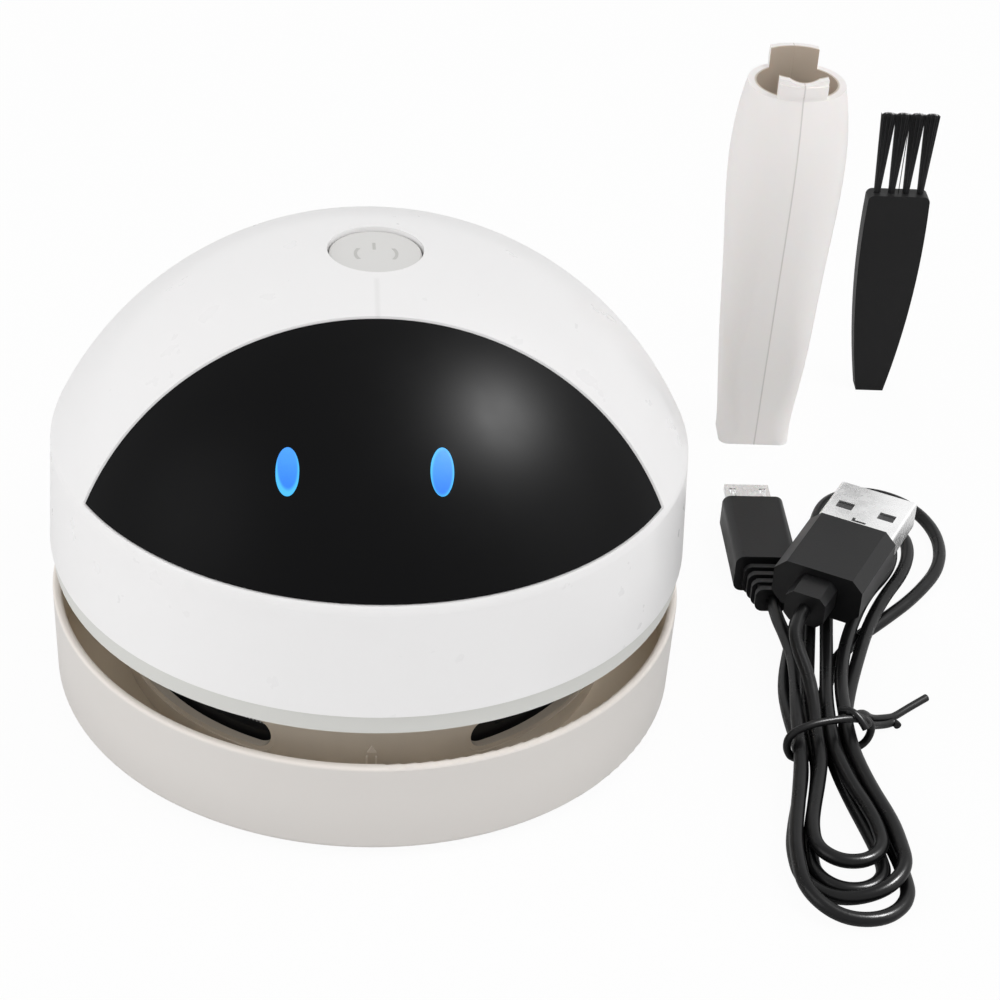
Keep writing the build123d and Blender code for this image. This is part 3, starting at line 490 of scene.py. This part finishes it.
lamp_body = Finish("lamp_body", IOR=1.45, Emission_Strength=0.4)
lamp_cloud = lamp_body.noise(1.0 * mm)
lamp_body.set("Base Color", lamp_body.mix(lamp_cloud, tint(214, 226, 240), tint(240, 246, 252)))
lamp_body.set("Emission Color", lamp_body.mix(lamp_cloud, tint(60, 140, 250), tint(110, 180, 255)))
lamp_body.set("Roughness", 0.3 + lamp_cloud * 0.2)
lamp_body.bump(lamp_cloud, 0.01 * mm)
dress(lamp_body, "leds")


# ---------------------------------------------------------------------------
# Charging socket in the rear of the shell: a folded and nickel-plated steel frame.
# It is soldered to the charging board, and looks out through a window in the shell.

socket_nickel = metal(
    "socket_nickel", tint(205, 203, 198), smooth=0.24, grain=0.5 * mm, stretch=(3, 0.3, 1)
)
dress(socket_nickel, "usb_socket")


# ---------------------------------------------------------------------------
# Top shell: glossy white dome and band in one moulding, screwed down on the deck.
# A faint flow line runs from the button's hole to the face's upper edge.

shell_white = tint(249, 248, 248)
flow_at = -0.1 * mm
flow_edge = (0.55 * mm, 0.05 * mm)
flow_front = (-7.2 * mm, -8.0 * mm)
flow_heights = (52 * mm, 54 * mm)

dome_gloss = Finish(
    "dome_gloss", IOR=1.48, Specular_IOR_Level=0.35, Coat_Weight=0.12, Coat_Roughness=0.12
)
dome_x, dome_y, dome_z = dome_gloss.axes()
front_only = dome_y.rise(*flow_front) * dome_z.rise(*flow_heights)
flow_line = abs(dome_x - flow_at).rise(*flow_edge) * front_only
dome_cloud = dome_gloss.noise(22 * mm, 3)
dome_plain = dome_gloss.mix(dome_cloud, shade(shell_white, 0.985), shell_white)
dome_gloss.set("Base Color", dome_gloss.mix(flow_line * 0.22, dome_plain, tint(214, 213, 212)))
dome_gloss.set("Roughness", 0.24 + dome_gloss.noise(6 * mm, 4) * 0.1)
dome_gloss.bump(dome_gloss.noise(3.5 * mm, 1) * 0.15 - flow_line, 0.012 * mm)
dress(dome_gloss, "top_shell")


# ---------------------------------------------------------------------------
# Face panel: black, tinted through, with a soft sheen, set into the shell from behind.
# It lies a little behind the shell's surface, with the two lights' holes in it.

face_black = Finish("face_black", Specular_IOR_Level=0.052, IOR=1.49)
face_cloud = face_black.noise(12 * mm, 3)
face_black.set("Base Color", face_black.mix(face_cloud, tint(11, 11, 12), tint(14, 14, 15)))
face_black.set("Roughness", 0.36 + face_black.noise(4 * mm, 4) * 0.06)
face_black.bump(face_black.noise(0.8 * mm, 2), 0.002 * mm)
dress(face_black, "face_panel")


# ---------------------------------------------------------------------------
# The two oval lights: clear blue plugs pushed through the panel, lit from behind.
# Pale sky blue at the top, deeper blue below, and a thin bright rim.

light_apart = 9.5 * mm
light_offset = -1.9 * mm
light_middle = 52.4 * mm
light_lean = radians(40)
light_half = (1.45 * mm, 3.05 * mm)

for side, lens in ((-1, "light_lens_left"), (1, "light_lens_right")):
    glow = Finish(f"glow_{lens}", IOR=1.45, Emission_Strength=0.85, Roughness=0.25)
    glow_x, _, glow_z = glow.axes()
    across = (glow_x - light_offset - side * light_apart) / light_half[0]
    up = (glow_z - light_middle) / (light_half[1] * cos(light_lean))
    reach = across * across + up * up
    rim = reach.rise(0.55, 0.95)
    core = glow.mix(up.rise(-1, 1), tint(30, 120, 255), tint(74, 164, 238))
    ripple = glow.noise(0.9 * mm, 2)
    glow.set("Base Color", glow.mix(ripple, tint(20, 70, 160), tint(30, 90, 190)))
    glow.set("Emission Color", glow.mix(rim * 0.8, core, tint(84, 214, 255)))
    glow.bump(ripple, 0.01 * mm)
    dress(glow, lens)


# ---------------------------------------------------------------------------
# Button on top: satin grey cap in the dome's round hole, pressed down on the switch.
# The power mark is a ring broken at two sides with a bar, moulded slightly raised.

button_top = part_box("button")[1].z
mark_ring = 2.7 * mm
mark_line = 0.42 * mm
mark_middle = Vector((0.08 * mm, -0.42 * mm, button_top - 0.02 * mm))
mark_span = radians(33)
mark_raised = 0.06 * mm
mark_bar_at = Vector((-0.22 * mm, 2.1 * mm, 0))
mark_bar_long = 1.8 * mm

button_satin = moulded(
    Finish("button_satin", IOR=1.46), tint(225, 224, 222), drift=0.02, smooth=0.36
)
dress(button_satin, "button")

mark_grey = moulded(
    Finish("power_mark_print", IOR=1.46), tint(198, 197, 194), drift=0.03, smooth=0.4
)
power_mark = begin(
    bpy.ops.mesh.primitive_circle_add, "power_mark", vertices=72,
    radius=mark_ring + mark_line / 2, fill_type="NOTHING", location=mark_middle,
)
bpy.ops.object.mode_set(mode="EDIT")
bpy.ops.mesh.extrude_edges_move()
inner = (mark_ring - mark_line / 2) / (mark_ring + mark_line / 2)
bpy.ops.transform.resize(value=(inner, inner, 1), center_override=mark_middle)
for way in (1, -1):
    bpy.ops.mesh.select_all(action="SELECT")
    cut = mark_middle + Vector((0, way * mark_ring * sin(mark_span), 0))
    bpy.ops.mesh.bisect(plane_co=cut, plane_no=(0, way, 0), clear_outer=True)
bpy.ops.mesh.select_all(action="DESELECT")
bpy.ops.mesh.primitive_plane_add(size=1, location=mark_middle + mark_bar_at)
bpy.ops.transform.resize(value=(mark_line, mark_bar_long, 1))
bpy.ops.mesh.select_all(action="SELECT")
bpy.ops.mesh.extrude_region_move(TRANSFORM_OT_translate={"value": (0, 0, mark_raised)})
bpy.ops.mesh.select_all(action="SELECT")
bpy.ops.mesh.normals_make_consistent(inside=False)
finish_piece(power_mark, mark_grey, "button")


# ---------------------------------------------------------------------------
# Nozzle: a tapering duct moulded in pale satin plastic that lets some light through.
# Its bore is painted warm and dim as shade, one half is painted a little darker as shade, and a
# parting line runs down the middle of each broad side.

nozzle_at = (66.3 * mm, 61.5 * mm)
nozzle_turn = radians(-2.6)
nozzle_pale = tint(250, 246, 244)
# Warm dim colour in the bore: painted shade inside the duct.
nozzle_bore_shade = tint(196, 182, 166)
bore_edge = (6.6 * mm, 6.25 * mm)
bore_heights = (45 * mm, 49 * mm)
seam_edge = (0.16 * mm, 0.06 * mm)
seam_side = (3.0 * mm, 3.3 * mm)

nozzle_satin = Finish("nozzle_satin", IOR=1.46, Subsurface_Weight=0.08, Subsurface_Scale=2 * mm)
noz_x, noz_y, noz_z = nozzle_satin.axes()
noz_dx = noz_x - nozzle_at[0]
noz_dy = noz_y - nozzle_at[1]
noz_across = noz_dx * cos(nozzle_turn) + noz_dy * sin(nozzle_turn)
noz_deep = noz_dy * cos(nozzle_turn) - noz_dx * sin(nozzle_turn)
noz_radius = (noz_dx * noz_dx + noz_dy * noz_dy) ** 0.5
# Mask of the bore's inside, where the painted shade goes.
inside = noz_radius.rise(*bore_edge) * noz_z.rise(*bore_heights)
parting = abs(noz_across).rise(*seam_edge) * abs(noz_deep).rise(*seam_side)
noz_cloud = nozzle_satin.noise(14 * mm, 3, (1, 1, 0.5))
# Random cloudy tone, plus painted shade that leaves one half of the nozzle a little darker than the
# other.
cloud_and_side_shade = noz_cloud * 0.6 + noz_across.rise(-0.1 * mm, 0.1 * mm) * 0.4
noz_plain = nozzle_satin.mix(cloud_and_side_shade, shade(nozzle_pale, 0.94), nozzle_pale)
noz_seamed = nozzle_satin.mix(parting * 0.5, noz_plain, tint(186, 182, 178))
nozzle_satin.set("Base Color", nozzle_satin.mix(inside, noz_seamed, nozzle_bore_shade))
nozzle_satin.set("Roughness", 0.42 + nozzle_satin.noise(5 * mm, 4) * 0.12)
nozzle_satin.bump(nozzle_satin.noise(0.4 * mm, 2) * 0.25 - parting, 0.02 * mm)
dress(nozzle_satin, "nozzle")


# ---------------------------------------------------------------------------
# Cleaning brush: a flat black handle with four fanned tufts of trimmed black nylon.
# The handle is moulded, and the tufts are stapled into holes in its end.

brush_at = Vector((88.9 * mm, 77.0 * mm, 0))
brush_turn = radians(-2.6)
handle_top = 36.8 * mm
tuft_pitch = 2.35 * mm
tuft_long = 14.0 * mm
tuft_root = 0.45 * mm
tuft_fan_x, tuft_fan_y = 1.22 * mm, 0.8 * mm
tuft_uneven = 0.25 * mm
strands_per_tuft = 90
golden_turn = 2.39996

handle_black = moulded(
    Finish("handle_black", Specular_IOR_Level=0.22), tint(20, 20, 21),
    drift=0.2, smooth=0.5, grain=0.25 * mm, depth=0.012 * mm,
)
dress(handle_black, "brush_handle")

brush_tufts = begin(
    bpy.ops.mesh.primitive_cone_add, "cleaning_tufts", vertices=5,
    radius1=0.08 * mm, radius2=0.08 * mm, depth=tuft_long,
    location=brush_at + Vector((0, 0, handle_top + tuft_long / 2 - 0.1 * mm)),
)
bpy.ops.object.mode_set(mode="EDIT")
turned = Matrix.Rotation(brush_turn, 4, "Z")
for i in range(4):
    root_x = (i - 1.5) * tuft_pitch
    for k in range(strands_per_tuft):
        way = golden_turn * k
        share = sqrt((k + 0.5) / strands_per_tuft)
        out_x, out_y = share * cos(way), share * sin(way)
        tip_z = handle_top + tuft_long - tuft_uneven * ((k * 7) % 5) / 4
        foot = Vector((root_x + tuft_root * out_x, tuft_root * out_y, handle_top - 0.4 * mm))
        tip = Vector((root_x + tuft_fan_x * out_x, tuft_fan_y * out_y, tip_z))
        strand(
            brush_at + turned @ foot, brush_at + turned @ tip,
            foot_radius=0.085 * mm, tip_radius=0.065 * mm,
        )
finish_piece(brush_tufts, nylon, "cleaning_brush")
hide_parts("brush_tufts")


# ---------------------------------------------------------------------------
# Charging cord: a limp black cord a little under 2 mm thick, folded into a hank.
# It runs from the small plug to the large one, round four bends in front of the tie and
# three behind it.

cord_thick = 1.95 * mm
cord_route = [
    (60.9, 9.2, 3.1), (60.8, 5.0, 3.3), (61.2, 0.0, 3.7), (61.4, -5.5, 3.9),
    (60.8, -11.5, 4.0), (59.8, -17.4, 4.1), (59.1, -23.4, 4.1), (58.7, -27.9, 3.9),
    (57.2, -35.2, 3.4), (55.4, -42.7, 3.2), (54.9, -47.2, 3.2), (55.0, -52.9, 2.6),
    (59.0, -56.9, 1.4), (64.7, -56.9, 1.1), (68.8, -53.0, 1.0), (68.9, -47.3, 1.0),
    (68.4, -42.8, 1.0), (67.1, -35.3, 1.2), (66.0, -28.0, 1.7), (65.9, -23.5, 1.9),
    (66.6, -18.5, 1.9), (68.2, -12.5, 2.4), (70.7, -5.5, 3.0), (73.7, 2.4, 3.1),
    (77.5, 9.9, 3.1), (81.8, 16.4, 3.1), (84.0, 21.9, 3.1), (84.2, 26.9, 3.1),
    (79.7, 31.4, 3.2), (73.2, 31.4, 3.2), (68.7, 26.9, 3.2), (68.6, 20.0, 3.2),
    (67.2, 12.0, 3.2), (65.6, 4.5, 3.0), (64.0, -4.0, 2.4), (62.3, -13.0, 1.9),
    (61.5, -23.5, 1.9), (61.2, -28.0, 1.7), (59.8, -34.0, 1.2), (58.0, -40.4, 1.0),
    (57.4, -44.4, 1.0), (57.3, -48.3, 1.0), (60.0, -51.1, 1.0), (63.8, -51.1, 1.0),
    (66.5, -48.4, 1.0), (66.4, -44.4, 1.0), (65.9, -40.5, 1.0), (64.7, -34.1, 1.2),
    (63.7, -28.0, 1.7), (63.6, -23.5, 1.9), (63.9, -18.5, 1.7), (65.0, -11.5, 1.1),
    (67.5, -4.0, 1.0), (71.9, 2.3, 1.0), (77.5, 7.5, 1.0), (83.5, 13.5, 1.0),
    (89.2, 21.5, 1.0), (90.6, 30.5, 1.0), (87.8, 38.6, 1.0), (81.2, 42.4, 1.0),
    (74.6, 39.8, 1.0), (71.6, 33.0, 1.0), (69.6, 24.5, 1.0), (67.0, 15.5, 1.0),
    (64.3, 6.8, 1.0), (61.8, -1.0, 1.0), (59.8, -8.5, 1.1), (59.2, -16.0, 1.6),
    (59.4, -23.5, 1.9), (59.1, -28.0, 1.8), (57.7, -33.7, 1.2), (55.9, -39.8, 1.0),
    (55.2, -43.7, 1.0), (55.3, -49.4, 1.0), (59.2, -53.3, 1.1), (64.9, -53.3, 2.4),
    (68.9, -49.4, 3.2), (68.9, -43.7, 3.2), (68.6, -39.8, 3.2), (67.2, -33.7, 3.3),
    (66.1, -27.9, 3.9), (66.0, -23.5, 4.1), (66.3, -18.5, 4.2), (66.9, -12.5, 4.1),
    (68.5, -5.5, 4.0), (71.2, 2.1, 4.0), (74.7, 9.6, 4.0), (78.9, 15.1, 4.1),
    (80.7, 19.3, 4.0), (81.2, 23.5, 4.0), (78.3, 26.6, 4.0), (74.1, 26.6, 4.0),
    (70.9, 23.4, 4.0), (70.6, 18.0, 4.0), (69.3, 11.0, 4.0), (67.7, 3.0, 4.0),
    (66.1, -6.0, 4.0), (64.4, -15.0, 4.0), (63.6, -23.5, 4.1), (63.7, -28.1, 3.9),
    (64.7, -32.8, 3.3), (66.0, -37.7, 3.2), (66.6, -41.1, 3.1), (66.6, -45.3, 3.1),
    (64.0, -48.0, 3.1), (60.3, -48.1, 3.1), (57.7, -45.3, 3.1), (57.9, -41.2, 3.1),
    (58.7, -37.8, 3.2), (60.2, -32.8, 3.4), (61.4, -28.1, 3.9), (61.5, -23.6, 4.2),
    (62.0, -18.7, 4.8), (62.0, -13.4, 6.4), (61.0, -9.2, 7.9), (60.9, -5.2, 9.2),
    (63.1, -1.5, 9.7),
]


def run_of(name, points, thick, finish, closed=False):
    """A round cord on one smooth spline through its control points, in millimetres."""
    curve = bpy.data.curves.new(name, "CURVE")
    curve.dimensions = "3D"
    curve.bevel_depth = thick / 2
    curve.bevel_resolution = 5
    curve.resolution_u = 8
    curve.use_fill_caps = True
    spline = curve.splines.new("NURBS")
    spline.points.add(len(points) - 1)
    for point, (x, y, z) in zip(spline.points, points):
        point.co = (x * mm, y * mm, z * mm, 1)
    spline.order_u = 3
    if closed:
        spline.use_cyclic_u = True
    else:
        spline.use_endpoint_u = True
    curve.materials.append(finish.material)
    piece = bpy.data.objects.new(name, curve)
    bpy.context.scene.collection.objects.link(piece)
    return piece


jacket = Finish("cord_jacket", Specular_IOR_Level=0.2)
jacket_cloud = jacket.noise(3 * mm, 3)
jacket.set("Base Color", jacket.mix(jacket_cloud, tint(10, 10, 11), tint(18, 18, 19)))
jacket.set("Roughness", 0.22 + jacket_cloud * 0.14)
jacket.bump(jacket.noise(0.5 * mm, 2), 0.01 * mm)

cord = run_of("charging_cord", cord_route, cord_thick, jacket)
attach(cord, "charging_cable")
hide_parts("cable_hank", "cable_lead_micro", "cable_lead_usb")


# ---------------------------------------------------------------------------
# Tie round the hank: plastic-coated wire, closed round the bundle and twisted at one side.
# Its doubled end lies on the table, with a kink where the second end stops.

tie_thick = 1.1 * mm
tie_ring = [
    (57.0, -25.3, 3.4), (57.4, -25.2, 5.7), (60.2, -24.6, 6.9), (63.4, -23.7, 6.9),
    (66.6, -22.8, 6.6), (69.5, -21.9, 5.2), (69.3, -22.0, 2.2), (67.6, -22.4, 0.8),
    (63.0, -23.6, 0.7), (58.4, -24.9, 0.8),
]
tie_long_end = [
    (66.0, -23.0, 6.8), (67.6, -21.6, 6.6), (68.9, -20.4, 5.2), (69.6, -18.4, 3.4),
    (71.0, -17.0, 1.8), (73.6, -15.6, 0.9), (74.6, -14.9, 0.6), (77.0, -12.9, 0.6),
    (80.0, -10.6, 0.6),
]
tie_short_end = [
    (65.6, -22.0, 7.0), (67.4, -22.8, 6.8), (68.8, -22.6, 5.4), (69.4, -20.6, 3.6),
    (70.8, -18.6, 1.9), (73.0, -17.0, 0.8), (74.4, -16.0, 0.6), (74.6, -17.0, 0.6),
]
tie_curl = [(64.9, -21.2, 6.7), (66.0, -22.0, 7.4), (67.4, -23.2, 6.7), (68.1, -24.0, 5.6)]

tie_coat = moulded(
    Finish("tie_coat", Specular_IOR_Level=0.2), tint(16, 16, 17), drift=0.2, smooth=0.34
)
for name, points, closed in (
    ("tie_ring", tie_ring, True), ("tie_long_end", tie_long_end, False),
    ("tie_short_end", tie_short_end, False), ("tie_curl", tie_curl, False),
):
    part = run_of(name, points, tie_thick, tie_coat, closed)
    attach(part, "charging_cable")
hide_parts("cable_tie")


# ---------------------------------------------------------------------------
# Both plugs: black moulded grips with strain reliefs, and bright folded steel shells.
# The large plug's shell is pressed round a tongue with four gold-plated contacts, which
# are sunk into the tongue's underside for half their thickness.

usb_at = Vector((62.9 * mm, -1.9 * mm, 0))
usb_turn = radians(59.6)
usb_mouth = 31.6 * mm
contact_size = (7.5 * mm, 1.0 * mm, 0.15 * mm)
contact_round = 0.05 * mm
contact_pitch = 2.3 * mm
contact_behind_mouth = 5.9 * mm

grip_black = moulded(
    Finish("grip_black", Specular_IOR_Level=0.22), tint(22, 22, 23),
    drift=0.2, smooth=0.36, grain=0.3 * mm, depth=0.01 * mm,
)
dress(grip_black, "usb_a_grip", "micro_grip")

shell_steel = metal(
    "shell_steel", tint(250, 250, 250), smooth=0.27, grain=1.4 * mm, depth=0.0004 * mm
)
dress(shell_steel, "usb_a_shell", "micro_shell")

dress(chip_black, "usb_a_tongue", "micro_tongue")

gold = metal("contact_gold", tint(232, 190, 104), smooth=0.22, grain=0.6 * mm)
usb_contacts = begin(bpy.ops.mesh.primitive_cube_add, "usb_contacts", size=1, location=(0, 0, 0))
bpy.ops.object.mode_set(mode="EDIT")
bpy.ops.mesh.select_all(action="SELECT")
tongue_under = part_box("usb_a_tongue")[0].z
for k in range(4):
    if k > 0:
        bpy.ops.mesh.primitive_cube_add(size=1, location=(0, 0, 0))
    bpy.ops.transform.resize(value=contact_size)
    bpy.ops.mesh.bevel(offset=contact_round, segments=2)
    bpy.ops.mesh.select_linked()
    in_plug = Vector((usb_mouth - contact_behind_mouth, (k - 1.5) * contact_pitch, 0))
    spot = usb_at + Matrix.Rotation(usb_turn, 4, "Z") @ in_plug
    bpy.ops.transform.rotate(value=-usb_turn, orient_axis="Z", center_override=(0, 0, 0))
    bpy.ops.transform.translate(value=(spot.x, spot.y, tongue_under))
    bpy.ops.mesh.select_all(action="DESELECT")
finish_piece(usb_contacts, gold, "charging_cable")


# ---------------------------------------------------------------------------
# Table top and light: a plain white floor and a pale studio with soft lamps.
# The floor and the sky are white for the camera, and the floor keeps soft shadows.

floor_wide = 6
floor_glow = 0.95
sky_on_object = 0.66
sky_in_view = 1.0

floor = begin(bpy.ops.mesh.primitive_plane_add, "table_top", size=floor_wide, location=(0, 0, 0))
table_white = Finish("table_white", Roughness=0.9, Specular_IOR_Level=0.1)
table_cloud = table_white.noise(0.4, 2)
table_colour = table_white.mix(table_cloud, (0.86, 0.86, 0.86), (0.88, 0.88, 0.88))
table_white.set("Base Color", table_colour)
seen = table_white.node("ShaderNodeLightPath", {}, {}, "Is Camera Ray")
lit_table = Signal(table_white, table_white.shader.outputs[0])
white_glow = table_white.node(
    "ShaderNodeEmission", {}, {"Color": (1, 1, 1, 1), "Strength": 1.0}
)
blend = table_white.node(
    "ShaderNodeMixShader", {}, {0: seen * floor_glow, 1: lit_table, 2: white_glow}
)
ending = table_white.material.node_tree.nodes["Material Output"]
table_white.plug(ending.inputs["Surface"], blend)
floor.data.materials.append(table_white.material)

sky = bpy.context.scene.world or bpy.data.worlds.new("sky")
bpy.context.scene.world = sky
sky.use_nodes = True
sky_nodes, sky_links = sky.node_tree.nodes, sky.node_tree.links
sky_nodes["Background"].inputs["Color"].default_value = (1, 1, 1, 1)
ray = sky_nodes.new("ShaderNodeLightPath")
in_view = sky_nodes.new("ShaderNodeMath")
in_view.operation = "MAXIMUM"
strength = sky_nodes.new("ShaderNodeMapRange")
strength.inputs["To Min"].default_value = sky_on_object
strength.inputs["To Max"].default_value = sky_in_view
sky_links.new(ray.outputs["Is Camera Ray"], in_view.inputs[0])
sky_links.new(ray.outputs["Is Glossy Ray"], in_view.inputs[1])
sky_links.new(in_view.outputs["Value"], strength.inputs["Value"])
sky_links.new(strength.outputs["Result"], sky_nodes["Background"].inputs["Strength"])


def lamp(name, place, toward, size, power):
    """A round soft lamp, with its width in metres and its power in watts."""
    light = bpy.data.lights.new(name, "AREA")
    light.shape = "DISK"
    light.size = size
    light.energy = power
    holder = bpy.data.objects.new(name, light)
    holder.location = place
    holder.rotation_euler = (Vector(toward) - Vector(place)).to_track_quat("-Z", "Y").to_euler()
    bpy.context.scene.collection.objects.link(holder)
    return holder


lamp("key_right", (0.376, -0.1, 0.656), toward=(0.01, 0, 0.03), size=0.3, power=0.65)
lamp("fill_right", (0.7, -0.25, 0.3), toward=(0.03, 0, 0.03), size=0.5, power=0.75)
lamp("fill_left", (-0.72, -0.3, 0.4), toward=(0, 0, 0.03), size=0.6, power=1.75)

sheen_on_face = (0.0125, -0.0243, 0.0578)
sheen = lamp("face_sheen", (0.43, -0.05, 0.60), toward=sheen_on_face, size=0.2, power=13.0)
sheen.visible_diffuse = False


# ---------------------------------------------------------------------------
# Camera: in front of the vacuum cleaner, looking down on it at a third of a right angle.
# The lens is shifted sideways, because the accessories are to the right of it.

eye = Vector((-0.01311, -0.28876, 0.21797))
aim = Vector((0, 0, 0.02672))
roll = Quaternion((0, 0, 1), radians(1.816))
view = bpy.data.cameras.new("front_view")
view.sensor_width = 36
view.lens = 89.78
view.shift_x = 0.1324
camera = bpy.data.objects.new("front_view", view)
camera.location = eye
camera.rotation_euler = ((aim - eye).to_track_quat("-Z", "Y") @ roll).to_euler()
bpy.context.scene.collection.objects.link(camera)
bpy.context.scene.camera = camera
bpy.context.scene.view_settings.view_transform = "Standard"
